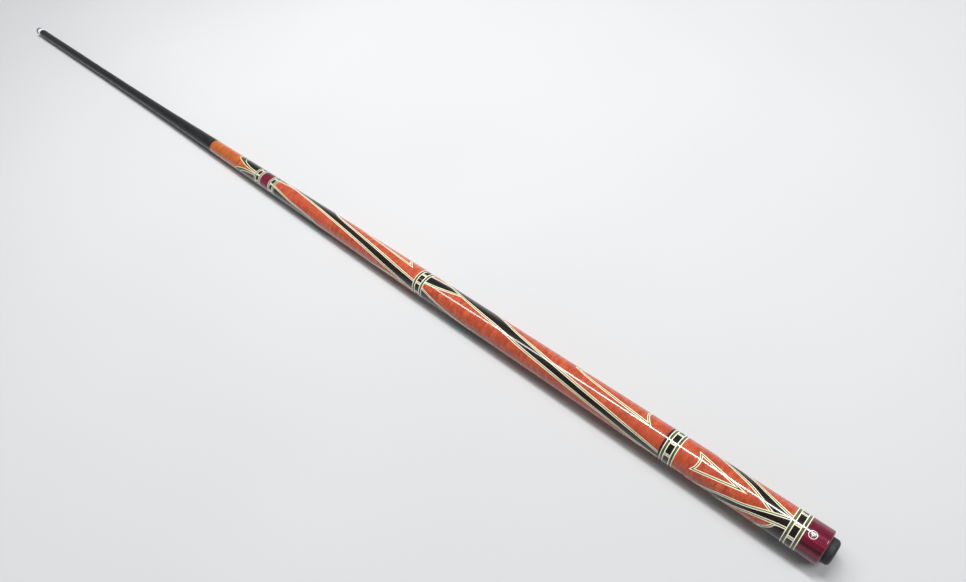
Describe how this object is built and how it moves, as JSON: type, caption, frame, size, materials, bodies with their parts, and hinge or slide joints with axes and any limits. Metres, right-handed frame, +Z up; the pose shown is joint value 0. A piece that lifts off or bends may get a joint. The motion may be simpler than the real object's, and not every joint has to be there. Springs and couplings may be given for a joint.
{
  "type": "pool cue",
  "caption": "Two-piece pool cue: inlaid wooden butt with ring trim and rubber bumper, threaded joint, tapered carbon fibre shaft, ferrule and domed leather tip.",
  "frame": {"origin": "centre of the rubber bumper's flat end face", "axes": "+X along the cue's axis towards the tip, +Z up; the inlays' most seen side faces +Z and +Y"},
  "size_m": [1.473, 0.03, 0.03],
  "materials": {
    "amber_maple": "high gloss clear coat over stained maple",
    "bar_veneer": "layered veneer under clear coat",
    "brass": "machined",
    "bumper_rubber": "moulded satin",
    "carbon_fibre": "satin sanded",
    "crimson_wood": "high gloss clear coat over stained striped wood",
    "dark_trim": "polished",
    "ebony": "polished under clear coat",
    "ferrule_resin": "polished",
    "foam": "expanded cells",
    "green_trim": "dyed, under clear coat",
    "inlay_veneer": "cream and green layers under clear coat",
    "nylon": "moulded",
    "pale_trim": "polished under clear coat",
    "pearl_inlay": "polished",
    "plain_maple": "bare turned",
    "stained_maple": "high gloss clear coat over stained figured maple",
    "steel": "machined",
    "tip_leather": "pressed layers, chalked"
  },
  "bodies": {
    "butt": {"butt_cap": "crimson_wood", "butt_sleeve": "stained_maple", "butt_sleeve_ebony": "ebony", "butt_sleeve_veneers": "inlay_veneer", "cap_emblem": "pearl_inlay", "core_dowel": "plain_maple", "forearm": "stained_maple", "forearm_ebony": "ebony", "forearm_veneers": "inlay_veneer", "handle": "stained_maple", "handle_dark_ring": "dark_trim", "handle_ebony": "ebony", "handle_veneers": "inlay_veneer", "joint_collar": "crimson_wood", "joint_pin": "steel", "ring_five_bars": "bar_veneer", "ring_five_ebony_blocks": "ebony", "ring_five_green_bands": "green_trim", "ring_five_pale_discs": "pale_trim", "ring_four_bars": "bar_veneer", "ring_four_ebony_blocks": "ebony", "ring_four_green_bands": "green_trim", "ring_four_pale_discs": "pale_trim", "ring_three_bars": "bar_veneer", "ring_three_ebony_blocks": "ebony", "ring_three_green_bands": "green_trim", "ring_three_pale_discs": "pale_trim", "ring_two_bars": "bar_veneer", "ring_two_ebony_blocks": "ebony", "ring_two_green_bands": "green_trim", "ring_two_pale_discs": "pale_trim"},
    "bumper": {"rubber_bumper": "bumper_rubber"},
    "bolt_carrier": {"weight_bolt_lock_ring": "nylon"},
    "bolt": {"weight_bolt": "steel"},
    "shaft_carrier": {"joint_insert": "brass"},
    "shaft": {"carbon_tube": "carbon_fibre", "ferrule": "ferrule_resin", "ferrule_tenon": "nylon", "foam_core": "foam", "leather_tip": "tip_leather", "ring_one_bars": "bar_veneer", "ring_one_ebony_blocks": "ebony", "ring_one_green_bands": "green_trim", "ring_one_pale_discs": "pale_trim", "shaft_base": "amber_maple", "shaft_base_ebony": "ebony", "shaft_base_veneers": "inlay_veneer", "shaft_core": "plain_maple", "shaft_dark_trim": "dark_trim"}
  },
  "joints": [
    {"name": "bumper_pull", "type": "slide", "parent": "butt", "child": "bumper", "axis": [-1, 0, 0], "range_m": [0, 0.025]},
    {"name": "bolt_travel", "type": "slide", "parent": "butt", "child": "bolt_carrier", "axis": [-1, 0, 0], "range_m": [0, 0.0318]},
    {"name": "bolt_turn", "type": "hinge", "parent": "bolt_carrier", "child": "bolt", "pos_m": [0.06, 0, 0], "axis": [-1, 0, 0], "range_deg": [0, 7200]},
    {"name": "shaft_travel", "type": "slide", "parent": "butt", "child": "shaft_carrier", "axis": [1, 0, 0], "range_m": [0, 0.0273]},
    {"name": "shaft_turn", "type": "hinge", "parent": "shaft_carrier", "child": "shaft", "pos_m": [0.74, 0, 0], "axis": [1, 0, 0], "range_deg": [0, 5400]}
  ],
  "couplings": [
    {"joint": "shaft_travel", "follows": "shaft_turn", "m_per_rad": 0.00028875},
    {"joint": "bolt_travel", "follows": "bolt_turn", "m_per_rad": 0.00025266}
  ]
}
